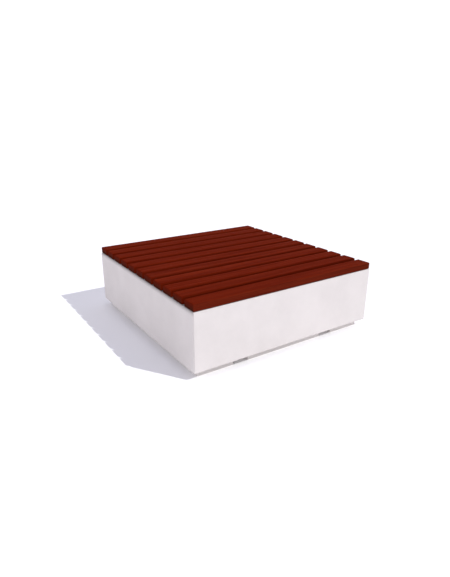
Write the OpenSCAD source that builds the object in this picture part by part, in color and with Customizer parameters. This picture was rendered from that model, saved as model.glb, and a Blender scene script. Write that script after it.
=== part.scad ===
// Square backless bench: a deck of hardwood slats bolted to a hollow cast-concrete base.
// Millimetres, +Z up. The origin is on the ground under the middle of the bench,
// the slats run along X and the front of the bench looks along -Y.

/* [Bench] */
// Length of the bench along the slats
bench_w = 1350; // [1150:10:1800]
// Height of the seat, from the ground to the tops of the slats
seat_h = 450; // [380:5:550]

/* [Slats] */
// Number of slats, which sets the depth of the bench
slat_n = 11; // [9:1:16]
// Width of one slat
slat_w = 95; // [80:1:140]
// Thickness of one slat
slat_t = 42; // [36:1:60]
// Open gap between two slats
slat_gap = 29.5; // [20:0.5:40]
// How far the deck stands back from the faces of the base
deck_inset = 5; // [0:0.5:20]
// Radius on the upper edges of a slat
slat_round = 8; // [1:0.5:10]
// Radius on the lower edges of a slat
slat_ease = 2; // [0.5:0.5:4]

/* [Bearers] */
// Width of a bearer bar
bearer_w = 50; // [40:1:80]
// Thickness of a bearer bar
bearer_t = 8; // [6:0.5:12]
// From the ends of the slats to the middle of the outer bearers
bearer_end = 165; // [100:5:250]
// From the last screw to the end of a bearer
bearer_tail = 15; // [10:1:20]
// Play between a bearer and its housing in the slats
housing_clear = 0.5; // [0.2:0.1:2]

/* [Slat screws] */
// Shank diameter of a slat screw
screw_d = 6; // [4:0.5:8]
// Head diameter of a slat screw
screw_head_d = 12; // [10:0.5:15]
// Length of a slat screw's pointed tip
screw_tip = 9; // [4:1:12]
// Wood left above the tip of a slat screw
screw_cover = 5; // [3:0.5:12]
// Distance between the two screws of a slat on one bearer
screw_pitch = 40; // [20:1:50]
// Play between a screw and its holes
screw_clear = 0.1; // [0.05:0.05:0.3]

/* [Anchors] */
// Rows of anchors along each bearer
anchor_n = 4; // [2:1:6]
// Diameter of an anchor bolt
bolt_d = 8; // [6:0.5:10]
// Length of an anchor bolt under its head
bolt_l = 40; // [30:1:55]
// Diameter of the domed bolt head
bolt_head_d = 14; // [12:0.5:18]
// Height of the domed bolt head
bolt_head_h = 4.4; // [3.5:0.1:6]
// Hexagon socket in the bolt head, across flats
bolt_key = 5; // [4:0.5:6]
// Depth of the hexagon socket
bolt_key_depth = 2.6; // [1.5:0.1:3.2]
// Play round a bolt in the washer, the bearer and the pad
bolt_clear = 0.5; // [0.2:0.1:1]
// Play between a bolt's thread and its cast-in socket
thread_clear = 0.1; // [0.05:0.05:0.3]
// Outside diameter of a washer
washer_d = 16; // [14:0.5:19]
// Thickness of a washer
washer_t = 1.6; // [1:0.1:3]
// Length of a bearing pad along the bearer
pad_l = 50; // [30:1:80]
// Thickness of a bearing pad
pad_t = 3; // [2:0.5:6]
// Outside diameter of a cast-in socket
socket_d = 14; // [13:0.5:18]
// Room in a cast-in socket below the tip of its bolt
socket_runout = 12; // [4:1:20]
// Thickness of a cast-in socket's closed end
socket_floor = 6; // [3:0.5:10]
// Diameter of the foot that keys a socket into the concrete
socket_foot_d = 24; // [20:1:36]
// Thickness of that foot
socket_foot_t = 4; // [2:0.5:8]

/* [Concrete base] */
// Height of the plinth
plinth_h = 45; // [30:5:90]
// How far the plinth stands back from the faces of the block
plinth_setback = 40; // [20:1:80]
// Chamfer on the arrises of the block
block_arris = 5; // [2:0.5:15]
// Chamfer on the upright arrises of the plinth
plinth_arris = 10; // [3:1:20]
// Thickness of the roof over the hollow
roof_t = 90; // [75:5:130]
// Thickness of the plinth's walls at the ground
wall_t = 70; // [50:5:120]
// Taper of the hollow's walls, so that the mould draws out
draft = 3; // [1:0.5:6]
// Haunch between the walls and the roof of the hollow
haunch = 35; // [15:5:60]
// Width of a lifting pocket
pocket_w = 105; // [80:5:180]
// Depth of a lifting pocket, into the wall of the plinth
pocket_depth = 30; // [15:1:40]
// Distance between the middles of the two lifting pockets
pocket_pitch = 680; // [400:10:760]

/* [Hidden] */
$fn = 64;
// A cut runs this far past the face that it opens
past = 1;
slat_l = bench_w - 2 * deck_inset;
slat_pitch = slat_w + slat_gap;
bench_d = slat_n * slat_pitch - slat_gap + 2 * deck_inset;

// Heights of the seats, from the deck down
deck_z = seat_h - slat_t;
bearer_top = deck_z + bearer_t;
block_top = deck_z - pad_t;
roof_z = block_top - roof_t;

bearer_l = (slat_n - 1) * slat_pitch + screw_pitch + 2 * bearer_tail;
bearer_x = slat_l / 2 - bearer_end;
screw_l = slat_t - screw_cover;
bolt_hole_d = bolt_d + 2 * bolt_clear;
bolt_seat_z = bearer_top + washer_t;
bolt_tip_z = bolt_seat_z - bolt_l;
socket_bore_z = bolt_tip_z - socket_runout;
socket_z = socket_bore_z - socket_floor;

sides = ["left", "middle", "right"];
side_x = [-bearer_x, 0, bearer_x];
slat_names = [for (i = [1:slat_n]) str("slat_", i < 10 ? "0" : "", i)];

concrete = "#ece8e9";
hardwood = "#6c1f0f";
galvanised = "#9a9fa3";
stainless = "#b9babb";
epdm = "#26272a";

// Middle of a slat, counted from the front
function slat_y(i) = (i - (slat_n - 1) / 2) * slat_pitch;

// Anchors sit in gaps between slats, spread from the first gap to the last
function anchor_y(row) = slat_y(round(row * (slat_n - 2) / (anchor_n - 1)) + 0.5);

// Closes half an upright outline with its mirror image
function mirrored(half) = concat(half, [for (i = [len(half) - 1:-1:0]) [-half[i].x, half[i].y]]);

// Extrudes an upright outline along X, evenly to both sides
module along_x(length) {
    rotate([90, 0, 90])
        linear_extrude(length, center = true)
            children();
}

// Extrudes an upright outline along Y, evenly to both sides
module along_y(length) {
    rotate([90, 0, 0])
        linear_extrude(length, center = true)
            children();
}

// Rectangle seen from above, with chamfered corners
module chamfered_plan(w, d, chamfer) {
    intersection() {
        square([w, d], center = true);
        rotate(45)
            square((w + d - 2 * chamfer) / sqrt(2), center = true);
    }
}

// Upright outline of the block above its plinth
module block_outline(width) {
    polygon(mirrored([
        [width / 2 - block_arris, plinth_h],
        [width / 2, plinth_h + block_arris],
        [width / 2, block_top - block_arris],
        [width / 2 - block_arris, block_top]
    ]));
}

// Upright outline of the hollow, with tapered walls and haunched corners
module hollow_outline(width) {
    foot = width / 2 - plinth_setback - wall_t;
    spring_z = roof_z - haunch;
    polygon(mirrored([
        [foot + past * tan(draft), -past],
        [foot - spring_z * tan(draft), spring_z],
        [foot - spring_z * tan(draft) - haunch, roof_z]
    ]));
}

// Places its children at each anchor of all the bearers
module at_anchors() {
    for (x = side_x, row = [0:anchor_n - 1])
        translate([x, anchor_y(row), 0])
            children();
}

// Places its children at each screw of one bearer
module at_screws(x) {
    for (i = [0:slat_n - 1], s = [-1, 1])
        translate([x, slat_y(i) + s * screw_pitch / 2, deck_z])
            children();
}

// Countersunk screw, or with play the hole that takes it, pointing up from the bearer's underside
module screw(play = 0) {
    head_r = screw_head_d / 2 + play;
    shank_r = screw_d / 2 + play;
    rotate_extrude()
        polygon([
            [0, 0],
            [head_r, 0],
            [shank_r, head_r - shank_r],
            [shank_r, screw_l - screw_tip],
            [0, screw_l + play]
        ]);
}

// Outside of a cast-in socket, which is also the space that it takes up in the concrete
module socket_body() {
    translate([0, 0, socket_z])
        cylinder(h = block_top - socket_z, d = socket_d);
    translate([0, 0, socket_z])
        cylinder(h = socket_foot_t, d = socket_foot_d);
}

// Clear hole for an anchor bolt between two heights
module bolt_hole(from_z, to_z) {
    translate([0, 0, from_z - past])
        cylinder(h = to_z - from_z + 2 * past, d = bolt_hole_d);
}

// Block with chamfered arrises on a set-back plinth, cast hollow, with lifting pockets front and back
module concrete_base() {
    plinth_w = bench_w - 2 * plinth_setback;
    plinth_d = bench_d - 2 * plinth_setback;
    color(concrete)
        difference() {
            union() {
                intersection() {
                    along_y(bench_d)
                        block_outline(bench_w);
                    along_x(bench_w)
                        block_outline(bench_d);
                    linear_extrude(seat_h)
                        chamfered_plan(bench_w, bench_d, block_arris);
                }
                linear_extrude(plinth_h)
                    chamfered_plan(plinth_w, plinth_d, plinth_arris);
            }
            intersection() {
                along_y(bench_d)
                    hollow_outline(bench_w);
                along_x(bench_w)
                    hollow_outline(bench_d);
            }
            for (s = [-1, 1], face = [-1, 1])
                translate([s * pocket_pitch / 2, face * plinth_d / 2, 0])
                    cube([pocket_w, 2 * pocket_depth, 2 * plinth_h], center = true);
            at_anchors()
                socket_body();
        }
}

// Section across a slat, with its edges rounded
module slat_section(width) {
    for (s = [-1, 1]) {
        translate([s * (width / 2 - slat_round), slat_t - slat_round])
            circle(slat_round);
        translate([s * (width / 2 - slat_ease), slat_ease])
            circle(slat_ease);
    }
    translate([-width / 2, slat_ease])
        square([width, slat_t - slat_round - slat_ease]);
    translate([-width / 2 + slat_round, slat_ease])
        square([width - 2 * slat_round, slat_t - slat_ease]);
    translate([-width / 2 + slat_ease, 0])
        square([width - 2 * slat_ease, slat_t - slat_round]);
}

// Slat with all its edges rounded, housed over the bearers and drilled for their screws
module slat(i) {
    housing_w = bearer_w + 2 * housing_clear;
    housing_l = bearer_l + 2 * housing_clear;
    color(hardwood)
        difference() {
            translate([0, slat_y(i), deck_z])
                intersection() {
                    along_x(slat_l)
                        slat_section(slat_w);
                    along_y(slat_w)
                        slat_section(slat_l);
                }
            for (x = side_x) {
                translate([x - housing_w / 2, -housing_l / 2, deck_z - past])
                    cube([housing_w, housing_l, bearer_t + housing_clear + past]);
                for (s = [-1, 1])
                    translate([x, slat_y(i) + s * screw_pitch / 2, deck_z])
                        screw(screw_clear);
            }
        }
}

// Flat bar across the slats, countersunk for their screws and drilled for the anchors
module bearer(x) {
    color(galvanised)
        difference() {
            translate([x - bearer_w / 2, -bearer_l / 2, deck_z])
                cube([bearer_w, bearer_l, bearer_t]);
            at_screws(x)
                screw(screw_clear);
            for (row = [0:anchor_n - 1])
                translate([x, anchor_y(row), 0])
                    bolt_hole(deck_z, bearer_top);
        }
}

// The two screws of every slat on one bearer
module slat_screws(x) {
    color(stainless)
        at_screws(x)
            screw();
}

// Pads that keep the bearers off the concrete
module bearer_pads() {
    color(epdm)
        at_anchors()
            difference() {
                translate([-bearer_w / 2, -pad_l / 2, block_top])
                    cube([bearer_w, pad_l, pad_t]);
                bolt_hole(block_top, deck_z);
            }
}

// Blind sockets cast into the top of the block, each keyed in by its foot
module anchor_sockets() {
    color(galvanised)
        at_anchors()
            difference() {
                socket_body();
                translate([0, 0, socket_bore_z])
                    cylinder(h = block_top - socket_bore_z + past, d = bolt_d + 2 * thread_clear);
            }
}

// Washers between the bolt heads and the bearers
module anchor_washers() {
    color(stainless)
        at_anchors()
            difference() {
                translate([0, 0, bearer_top])
                    cylinder(h = washer_t, d = washer_d);
                bolt_hole(bearer_top, bolt_seat_z);
            }
}

// Bolts with domed heads, reached through the gaps between the slats
module anchor_bolts() {
    head_r = bolt_head_d / 2;
    dome_r = (head_r * head_r + bolt_head_h * bolt_head_h) / (2 * bolt_head_h);
    color(stainless)
        at_anchors() {
            translate([0, 0, bolt_tip_z])
                cylinder(h = bolt_l + past, d = bolt_d);
            translate([0, 0, bolt_seat_z])
                difference() {
                    intersection() {
                        translate([0, 0, bolt_head_h - dome_r])
                            sphere(dome_r);
                        cylinder(h = bolt_head_h + past, d = bolt_head_d + past);
                    }
                    translate([0, 0, bolt_head_h - bolt_key_depth])
                        cylinder(h = bolt_key_depth + past, d = bolt_key / cos(30), $fn = 6);
                }
        }
}

concrete_base();
for (i = [0:slat_n - 1])
    slat(i);
for (i = [0:len(sides) - 1])
    bearer(side_x[i]);
for (i = [0:len(sides) - 1])
    slat_screws(side_x[i]);
bearer_pads();
anchor_sockets();
anchor_washers();
anchor_bolts();
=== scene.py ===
import math

import bpy
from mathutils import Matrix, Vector


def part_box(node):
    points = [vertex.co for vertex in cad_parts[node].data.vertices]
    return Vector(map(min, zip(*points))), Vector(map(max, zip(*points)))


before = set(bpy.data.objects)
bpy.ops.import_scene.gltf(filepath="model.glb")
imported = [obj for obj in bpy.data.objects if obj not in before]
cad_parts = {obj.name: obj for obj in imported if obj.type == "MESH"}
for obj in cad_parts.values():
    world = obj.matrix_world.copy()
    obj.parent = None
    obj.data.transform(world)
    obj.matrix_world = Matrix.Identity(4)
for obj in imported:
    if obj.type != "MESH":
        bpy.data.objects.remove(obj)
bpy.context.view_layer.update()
mm = 0.001


# one sRGB hex colour to the linear values that the nodes want
def linear(hexColour):
    channels = [int(hexColour[i:i + 2], 16) / 255 for i in (1, 3, 5)]
    return [c / 12.92 if c <= 0.04045 else ((c + 0.055) / 1.055) ** 2.4 for c in channels] + [1.0]


# adds a node: inputs take a value, a node (its first output) or a pair of node and output name
def addNode(tree, kind, inputs=None, stops=None, **settings):
    made = tree.nodes.new(kind)
    for name, value in settings.items():
        setattr(made, name, value)
    for socket, value in (inputs or {}).items():
        if isinstance(value, bpy.types.Node):
            tree.links.new(value.outputs[0], made.inputs[socket])
        elif isinstance(value, tuple) and isinstance(value[0], bpy.types.Node):
            tree.links.new(value[0].outputs[value[1]], made.inputs[socket])
        else:
            made.inputs[socket].default_value = value
    if stops:
        ramp = made.color_ramp
        while len(ramp.elements) < len(stops):
            ramp.elements.new(1.0)
        for element, (position, colour) in zip(ramp.elements, stops):
            element.position = position
            element.color = linear(colour) if isinstance(colour, str) else [colour] * 3 + [1.0]
    return made


# an empty material with its shader, and the place on the object in metres
def startMaterial(name):
    material = bpy.data.materials.new(name)
    material.use_nodes = True
    tree = material.node_tree
    shader = tree.nodes["Principled BSDF"]
    place = addNode(tree, "ShaderNodeTexCoord")
    return material, tree, shader, place


def finishNode(node, material):
    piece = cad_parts[node]
    piece.data.materials.clear()
    piece.data.materials.append(material)


# camera, fitted to the corners of the deck, the block and the plinth
shot = {
    "frame": (450, 577),
    "place": (-1.747, -2.555, 1.338),
    "heading": 33.15,
    "tilt": 20.36,
    "focalPixels": 460.5,
    "axisPixel": (218.6, 289.2),
    "sensor": 36.0,
}


def addCamera():
    width, height = shot["frame"]
    data = bpy.data.cameras.new("photoCamera")
    data.sensor_width = shot["sensor"]
    data.lens = shot["focalPixels"] * shot["sensor"] / height
    data.shift_x = (width / 2 - shot["axisPixel"][0]) / height
    data.shift_y = (shot["axisPixel"][1] - height / 2) / height
    camera = bpy.data.objects.new("photoCamera", data)
    camera.location = shot["place"]
    camera.rotation_euler = (math.radians(90 - shot["tilt"]), 0, -math.radians(shot["heading"]))
    bpy.context.scene.collection.objects.link(camera)
    bpy.context.scene.camera = camera


# studio: one key from the front right, a pale floor, and a dome that is white near the horizon,
# stronger on the left and dark high up in front
studio = {
    "keyFrom": (0.249, -0.375, 0.450),
    "keyAngle": 0.5,
    "keyStrength": 2.36,
    "keyColour": "#feffff",
    "domeStrength": 1.1,
    "lowBand": "#ffffff",       # the dome is white up to 25 degrees, which is as high as most views reach
    "upperDome": "#cfcfe1",
    "bandHeight": (0.42, 0.58),
    "leftFill": 1.25,           # shares of the dome's light that are left on each side
    "leftReach": (-0.2, -0.9),
    "lowFrontFill": 0.915,
    "highFrontFill": 0.0,
    "frontReach": (-0.1, -0.7),
    "floorSize": 60.0,
    "floorColour": "#f5f4f5",
    "clouding": "#f8f7f8",
    "cloudSize": 2.5,
}


def addStudio():
    scene = bpy.context.scene
    scene.view_settings.view_transform = "Standard"

    sun = bpy.data.lights.new("keyLight", "SUN")
    sun.energy = studio["keyStrength"]
    sun.angle = math.radians(studio["keyAngle"])
    sun.color = linear(studio["keyColour"])[:3]
    key = bpy.data.objects.new("keyLight", sun)
    key.rotation_euler = (-Vector(studio["keyFrom"])).to_track_quat("-Z", "Y").to_euler()
    scene.collection.objects.link(key)

    world = bpy.data.worlds.new("whiteDome")
    scene.world = world
    world.use_nodes = True
    tree = world.node_tree
    look = addNode(tree, "ShaderNodeTexCoord")
    axes = addNode(tree, "ShaderNodeSeparateXYZ", {0: (look, "Generated")})
    rise = addNode(tree, "ShaderNodeMapRange", {0: (axes, "Z"), 1: studio["bandHeight"][0],
                                                2: studio["bandHeight"][1]})
    dome = addNode(tree, "ShaderNodeMix", {0: rise, 6: linear(studio["lowBand"]),
                                           7: linear(studio["upperDome"])}, data_type="RGBA")
    left = addNode(tree, "ShaderNodeMapRange", {0: (axes, "X"), 1: studio["leftReach"][0],
                                                2: studio["leftReach"][1], 3: studio["domeStrength"],
                                                4: studio["domeStrength"] * studio["leftFill"]})
    frontFill = addNode(tree, "ShaderNodeMix", {0: rise, 2: studio["lowFrontFill"],
                                                3: studio["highFrontFill"]})
    front = addNode(tree, "ShaderNodeMapRange", {0: (axes, "Y"), 1: studio["frontReach"][0],
                                                 2: studio["frontReach"][1], 3: 1.0, 4: frontFill})
    fill = addNode(tree, "ShaderNodeMath", {0: left, 1: front}, operation="MULTIPLY")
    background = tree.nodes["Background"]
    tree.links.new(fill.outputs[0], background.inputs["Strength"])
    tree.links.new(dome.outputs[2], background.inputs["Color"])

    # seamless matt paper, faintly clouded
    material, tree, shader, place = startMaterial("mattBackgroundPaper")
    clouds = addNode(tree, "ShaderNodeTexNoise", {"Vector": (place, "Object"),
                                                  "Scale": 1 / studio["cloudSize"]})
    tone = addNode(tree, "ShaderNodeValToRGB", {0: clouds},
                   stops=[(0.3, studio["floorColour"]), (0.7, studio["clouding"])])
    tree.links.new(tone.outputs[0], shader.inputs["Base Color"])
    shader.inputs["Roughness"].default_value = 0.95
    shader.inputs["Specular IOR Level"].default_value = 0.0
    half = studio["floorSize"] / 2
    mesh = bpy.data.meshes.new("floor")
    corners = [(-half, -half, 0), (half, -half, 0), (half, half, 0), (-half, half, 0)]
    mesh.from_pydata(corners, [], [(0, 1, 2, 3)])
    floor = bpy.data.objects.new("floor", mesh)
    floor.data.materials.append(material)
    scene.collection.objects.link(floor)


# slats: dense tropical hardwood, planed, stained deep red-brown and oiled to a dull sheen
slats = {
    "nodes": sorted(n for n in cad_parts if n.startswith("slat_") and "screws" not in n),
    "dark": "#510f03",
    "middle": "#5e1706",
    "light": "#6e1f09",
    "pore": "#3c1008",
    "endGrain": "#53160a",
    "endFoot": "#331810",       # the end grain goes darker and browner towards its foot
    "sideShade": 0.8,           # painted shade: the sides are darker than the tops
    "outerGrey": "#5d3b30",     # the outer sides are also mixed a little towards a greyer brown
    "outerGreying": 0.1,
    "figureWidth": 16 * mm,     # broad bands in the figure
    "figureLength": 700 * mm,
    "fibreWidth": 5 * mm,       # fibre bundles, drawn about five times coarser so that they show
    "fibreLength": 260 * mm,
    "poreWidth": 1.2 * mm,
    "poreLength": 45 * mm,
    "poreStain": 0.45,
    "ringWidth": 7 * mm,        # growth rings, faint in this kind of wood
    "ringStretch": 12.0,        # they wander slowly along the log
    "fibreShare": 0.35,
    "ringShare": 0.18,
    "logSpread": (9.0, 0.3, 0.3),
    "endCover": 0.85,           # how much of the figure the end grain hides
    "slatTone": 0.07,           # how much one slat differs from the next
    "roughness": (0.58, 0.76),
}


def stainedHardwood():
    material, tree, shader, place = startMaterial("stainedHardwoodPlaned")
    lo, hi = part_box(slats["nodes"][0])
    rise = hi.z - lo.z
    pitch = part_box(slats["nodes"][1])[0].y - lo.y
    halfGap = (pitch - (hi.y - lo.y)) / 2
    axes = addNode(tree, "ShaderNodeSeparateXYZ", {0: (place, "Object")})

    # number of the slat from the front, changing in the middle of each gap, and its own chance values
    fromFront = addNode(tree, "ShaderNodeMath", {0: (axes, "Y"), 1: lo.y - halfGap}, operation="SUBTRACT")
    share = addNode(tree, "ShaderNodeMath", {0: fromFront, 1: pitch}, operation="DIVIDE")
    number = addNode(tree, "ShaderNodeMath", {0: share}, operation="FLOOR")
    chance = addNode(tree, "ShaderNodeTexWhiteNoise", {"W": number}, noise_dimensions="1D")

    # every slat is sawn from another part of the log
    offset = addNode(tree, "ShaderNodeVectorMath", {0: (chance, "Color"), 1: slats["logSpread"]},
                     operation="MULTIPLY")
    inLog = addNode(tree, "ShaderNodeVectorMath", {0: (place, "Object"), 1: offset}, operation="ADD")

    def streaks(length, width, detail, distortion):
        stretched = addNode(tree, "ShaderNodeVectorMath", {0: inLog, 1: (1 / length, 1 / width, 1 / width)},
                            operation="MULTIPLY")
        return addNode(tree, "ShaderNodeTexNoise", {"Vector": stretched, "Scale": 1.0, "Detail": detail,
                                                    "Roughness": 0.55, "Distortion": distortion})

    figure = streaks(slats["figureLength"], slats["figureWidth"], 3.0, 0.3)
    fibre = streaks(slats["fibreLength"], slats["fibreWidth"], 4.0, 0.15)
    pore = streaks(slats["poreLength"], slats["poreWidth"], 1.0, 0.0)
    alongLog = addNode(tree, "ShaderNodeVectorMath", {0: inLog, 1: (1 / slats["ringStretch"], 1.0, 1.0)},
                       operation="MULTIPLY")
    rings = addNode(tree, "ShaderNodeTexWave", {"Vector": alongLog,
                                                "Scale": math.pi / 10 / slats["ringWidth"],
                                                "Distortion": 5.0, "Detail": 2.0, "Detail Scale": 0.6},
                    wave_type="RINGS", rings_direction="X")

    blend = addNode(tree, "ShaderNodeMix", {0: slats["fibreShare"], 2: figure, 3: fibre})
    grain = addNode(tree, "ShaderNodeMix", {0: slats["ringShare"], 2: blend, 3: (rings, "Fac")})
    stain = addNode(tree, "ShaderNodeValToRGB", {0: grain},
                    stops=[(0.32, slats["dark"]), (0.5, slats["middle"]), (0.68, slats["light"])])

    # open pores hold more stain
    poreMask = addNode(tree, "ShaderNodeMapRange", {0: pore, 1: 0.62, 2: 0.72, 3: 0.0,
                                                    4: slats["poreStain"]})
    pored = addNode(tree, "ShaderNodeMix", {0: poreMask, 6: stain, 7: linear(slats["pore"])},
                    data_type="RGBA")

    # end grain drinks the stain evenly, so that the figure fades there
    facing = addNode(tree, "ShaderNodeSeparateXYZ", {0: (place, "Normal")})
    endwise = addNode(tree, "ShaderNodeMath", {0: (facing, "X")}, operation="ABSOLUTE")
    endMask = addNode(tree, "ShaderNodeMapRange", {0: endwise, 1: 0.55, 2: 0.95, 3: 0.0,
                                                   4: slats["endCover"]})
    # the end faces go darker and browner towards the foot
    towardsFoot = addNode(tree, "ShaderNodeMapRange", {0: (axes, "Z"), 1: lo.z + 0.85 * rise,
                                                2: lo.z + 0.15 * rise})
    endColour = addNode(tree, "ShaderNodeMix", {0: towardsFoot, 6: linear(slats["endGrain"]),
                                                7: linear(slats["endFoot"])}, data_type="RGBA")
    ended = addNode(tree, "ShaderNodeMix", {0: endMask, 6: (pored, 2), 7: (endColour, 2)}, data_type="RGBA")

    # painted shade makes the sides darker than the tops, and the outer sides are mixed a little towards a
    # greyer brown
    sideways = addNode(tree, "ShaderNodeMath", {0: (facing, "Y")}, operation="ABSOLUTE")
    sideMask = addNode(tree, "ShaderNodeMapRange", {0: sideways, 1: 0.3, 2: 0.9, 3: 0.0, 4: 1.0})
    across = addNode(tree, "ShaderNodeMath", {0: (axes, "Y")}, operation="ABSOLUTE")
    outer = addNode(tree, "ShaderNodeMath", {0: across, 1: -lo.y - 5 * mm}, operation="GREATER_THAN")
    outerSide = addNode(tree, "ShaderNodeMath", {0: sideMask, 1: outer}, operation="MULTIPLY")
    greyMask = addNode(tree, "ShaderNodeMath", {0: outerSide, 1: slats["outerGreying"]}, operation="MULTIPLY")
    greyed = addNode(tree, "ShaderNodeMix", {0: greyMask, 6: (ended, 2), 7: linear(slats["outerGrey"])},
                     data_type="RGBA")
    # painted shade on the sides
    shade = addNode(tree, "ShaderNodeMix", {0: sideMask, 2: 1.0, 3: slats["sideShade"]})

    # slats differ a little in tone
    tone = addNode(tree, "ShaderNodeMapRange", {0: (chance, "Value"), 1: 0.0, 2: 1.0,
                                                3: 1 - slats["slatTone"] / 2, 4: 1 + slats["slatTone"] / 2})
    depth = addNode(tree, "ShaderNodeMath", {0: tone, 1: shade}, operation="MULTIPLY")
    toned = addNode(tree, "ShaderNodeVectorMath", {0: (greyed, 2), "Scale": depth}, operation="SCALE")
    tree.links.new(toned.outputs[0], shader.inputs["Base Color"])

    rough = addNode(tree, "ShaderNodeMapRange", {0: grain, 1: 0.3, 2: 0.7,
                                                 3: slats["roughness"][1], 4: slats["roughness"][0]})
    tree.links.new(rough.outputs[0], shader.inputs["Roughness"])
    shader.inputs["IOR"].default_value = 1.47
    shader.inputs["Specular IOR Level"].default_value = 0.005

    relief = addNode(tree, "ShaderNodeMath", {0: fibre, 1: poreMask}, operation="SUBTRACT")
    bump = addNode(tree, "ShaderNodeBump", {"Height": relief, "Strength": 0.35, "Distance": 0.6 * mm})
    tree.links.new(bump.outputs[0], shader.inputs["Normal"])
    return material


# base: white cement concrete, cast against smooth moulds, with the fine air holes that casting leaves
base = {
    "node": "concrete_base",
    "pale": "#d2cccb",
    "shade": "#cac4c3",
    "hole": "#a8a3a1",
    "cloudSize": 260 * mm,
    "sandGrain": 3 * mm,        # sand grains, drawn about three times coarser so that they show
    "holeSpacing": 42 * mm,
    "holeRadius": 2.4 * mm,
    "underDeckShade": "#4a3f3b",        # painted shade on the concrete beside and under the deck
    "underDeckShadeReach": 26 * mm,       # how far the painted shade reaches down under the slat ends
    "ledgeShade": 0.5,
    "endFaceShade": 0.32,
    "roughness": (0.8, 0.94),
}


def castConcrete():
    material, tree, shader, place = startMaterial("whiteCastConcrete")
    clouds = addNode(tree, "ShaderNodeTexNoise", {"Vector": (place, "Object"),
                                                  "Scale": 1 / base["cloudSize"],
                                                  "Detail": 5.0, "Roughness": 0.6})
    sand = addNode(tree, "ShaderNodeTexNoise", {"Vector": (place, "Object"), "Scale": 1 / base["sandGrain"],
                                                "Detail": 2.0})
    mixed = addNode(tree, "ShaderNodeMix", {0: 0.3, 2: clouds, 3: sand})
    cement = addNode(tree, "ShaderNodeValToRGB", {0: mixed},
                     stops=[(0.38, base["shade"]), (0.62, base["pale"])])

    # air holes in some of the cells, each of its own size; each pit is a bump, and its darker colour is
    # painted shade inside it
    cells = addNode(tree, "ShaderNodeTexVoronoi", {"Vector": (place, "Object"),
                                                   "Scale": 1 / base["holeSpacing"]})
    pick = addNode(tree, "ShaderNodeSeparateColor", {0: (cells, "Color")})
    radius = addNode(tree, "ShaderNodeMapRange", {0: (pick, "Red"), 1: 0.55, 2: 1.0, 3: 0.0,
                                                  4: base["holeRadius"] / base["holeSpacing"]})
    inside = addNode(tree, "ShaderNodeMath", {0: radius, 1: (cells, "Distance")}, operation="SUBTRACT")
    hole = addNode(tree, "ShaderNodeMapRange", {0: inside, 1: 0.0, 2: 0.015, 3: 0.0, 4: 1.0})
    holed = addNode(tree, "ShaderNodeMix", {0: hole, 6: cement, 7: linear(base["hole"])}, data_type="RGBA")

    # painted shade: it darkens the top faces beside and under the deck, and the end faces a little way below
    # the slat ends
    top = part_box(base["node"])[1].z
    axes = addNode(tree, "ShaderNodeSeparateXYZ", {0: (place, "Object")})
    facing = addNode(tree, "ShaderNodeSeparateXYZ", {0: (place, "Normal")})
    ledge = addNode(tree, "ShaderNodeMapRange", {0: (facing, "Z"), 1: 0.75, 2: 0.95, 3: 0.0,
                                                 4: base["ledgeShade"]})
    endwise = addNode(tree, "ShaderNodeMath", {0: (facing, "X")}, operation="ABSOLUTE")
    ends = addNode(tree, "ShaderNodeMapRange", {0: endwise, 1: 0.3, 2: 0.6, 3: 0.0, 4: base["endFaceShade"]})
    nearTop = addNode(tree, "ShaderNodeMapRange", {0: (axes, "Z"), 1: top - base["underDeckShadeReach"], 2: top},
                  interpolation_type="SMOOTHSTEP")
    below = addNode(tree, "ShaderNodeMath", {0: ends, 1: nearTop}, operation="MULTIPLY")
    paintedShadeMask = addNode(tree, "ShaderNodeMath", {0: ledge, 1: below}, operation="MAXIMUM")
    withPaintedShade = addNode(tree, "ShaderNodeMix", {0: paintedShadeMask, 6: (holed, 2), 7: linear(base["underDeckShade"])},
                      data_type="RGBA")
    tree.links.new(withPaintedShade.outputs[2], shader.inputs["Base Color"])

    rough = addNode(tree, "ShaderNodeMapRange", {0: clouds, 1: 0.3, 2: 0.7,
                                                 3: base["roughness"][0], 4: base["roughness"][1]})
    tree.links.new(rough.outputs[0], shader.inputs["Roughness"])
    shader.inputs["IOR"].default_value = 1.5
    shader.inputs["Specular IOR Level"].default_value = 0.2

    relief = addNode(tree, "ShaderNodeMath", {0: sand, 1: 0.25}, operation="MULTIPLY")
    pitted = addNode(tree, "ShaderNodeMath", {0: relief, 1: hole}, operation="SUBTRACT")
    bump = addNode(tree, "ShaderNodeBump", {"Height": pitted, "Strength": 0.5, "Distance": 1.2 * mm})
    tree.links.new(bump.outputs[0], shader.inputs["Normal"])
    return material


# bearers and sockets: steel dipped in zinc, which freezes in dull grey spangles
zinc = {
    "nodes": ["bearer_left", "bearer_middle", "bearer_right", "anchor_sockets"],
    "pale": "#b4b9bc",
    "dark": "#8f9598",
    "spangle": 11 * mm,
    "roughness": (0.36, 0.58),
}


def galvanisedSteel():
    material, tree, shader, place = startMaterial("hotDipGalvanisedSteel")
    cells = addNode(tree, "ShaderNodeTexVoronoi", {"Vector": (place, "Object"),
                                                   "Scale": 1 / zinc["spangle"]})
    chance = addNode(tree, "ShaderNodeSeparateColor", {0: (cells, "Color")})
    colour = addNode(tree, "ShaderNodeValToRGB", {0: (chance, "Red")},
                     stops=[(0.0, zinc["dark"]), (1.0, zinc["pale"])])
    tree.links.new(colour.outputs[0], shader.inputs["Base Color"])
    rough = addNode(tree, "ShaderNodeMapRange", {0: (chance, "Green"), 1: 0.0, 2: 1.0,
                                                 3: zinc["roughness"][0], 4: zinc["roughness"][1]})
    tree.links.new(rough.outputs[0], shader.inputs["Roughness"])
    shader.inputs["Metallic"].default_value = 1.0
    bump = addNode(tree, "ShaderNodeBump", {"Height": cells, "Strength": 0.15, "Distance": 0.2 * mm})
    tree.links.new(bump.outputs[0], shader.inputs["Normal"])
    return material


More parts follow.
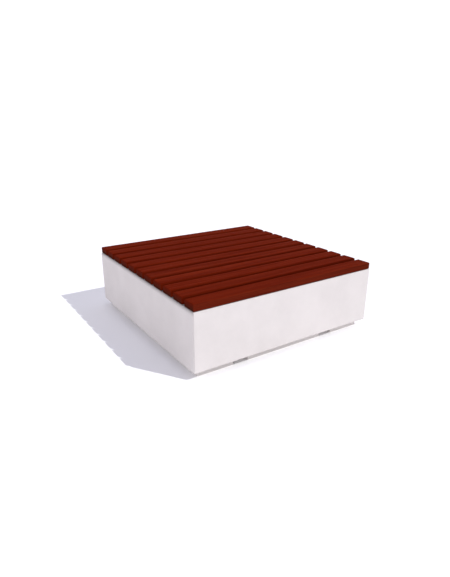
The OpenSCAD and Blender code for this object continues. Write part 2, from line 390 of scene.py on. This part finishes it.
# bolts, washers and screws: stainless steel, turned, with a soft lustre
stainless = {
    "nodes": ["anchor_bolts", "anchor_washers",
              "slat_screws_left", "slat_screws_middle", "slat_screws_right"],
    "pale": "#cfcfcd",
    "dark": "#b3b3b2",
    "toolMark": 1.5 * mm,
    "roughness": (0.22, 0.36),
}


def turnedStainless():
    material, tree, shader, place = startMaterial("turnedStainlessSteel")
    marks = addNode(tree, "ShaderNodeTexNoise", {"Vector": (place, "Object"),
                                                 "Scale": 1 / stainless["toolMark"], "Detail": 3.0})
    colour = addNode(tree, "ShaderNodeValToRGB", {0: marks},
                     stops=[(0.3, stainless["dark"]), (0.7, stainless["pale"])])
    tree.links.new(colour.outputs[0], shader.inputs["Base Color"])
    rough = addNode(tree, "ShaderNodeMapRange", {0: marks, 1: 0.3, 2: 0.7,
                                                 3: stainless["roughness"][0], 4: stainless["roughness"][1]})
    tree.links.new(rough.outputs[0], shader.inputs["Roughness"])
    shader.inputs["Metallic"].default_value = 1.0
    return material


# pads: EPDM rubber, cut from moulded sheet, matt black with a grey bloom
rubber = {
    "nodes": ["bearer_pads"],
    "black": "#1b1b1d",
    "bloom": "#303033",
    "grain": 1.0 * mm,
}


def mouldedEpdm():
    material, tree, shader, place = startMaterial("mouldedEpdmRubber")
    grain = addNode(tree, "ShaderNodeTexNoise", {"Vector": (place, "Object"), "Scale": 1 / rubber["grain"]})
    colour = addNode(tree, "ShaderNodeValToRGB", {0: grain},
                     stops=[(0.4, rubber["black"]), (0.75, rubber["bloom"])])
    tree.links.new(colour.outputs[0], shader.inputs["Base Color"])
    shader.inputs["Roughness"].default_value = 0.82
    shader.inputs["IOR"].default_value = 1.52
    bump = addNode(tree, "ShaderNodeBump", {"Height": grain, "Strength": 0.3, "Distance": 0.2 * mm})
    tree.links.new(bump.outputs[0], shader.inputs["Normal"])
    return material


addCamera()
addStudio()
print("camera and studio are set")

wood = stainedHardwood()
for node in slats["nodes"]:
    finishNode(node, wood)
print(f"{len(slats['nodes'])} slats are stained")

finishNode(base["node"], castConcrete())
print("the concrete base is cast")

for pieces, makeMaterial in ((zinc, galvanisedSteel), (stainless, turnedStainless), (rubber, mouldedEpdm)):
    material = makeMaterial()
    for node in pieces["nodes"]:
        finishNode(node, material)
print("the hidden fixings are finished")
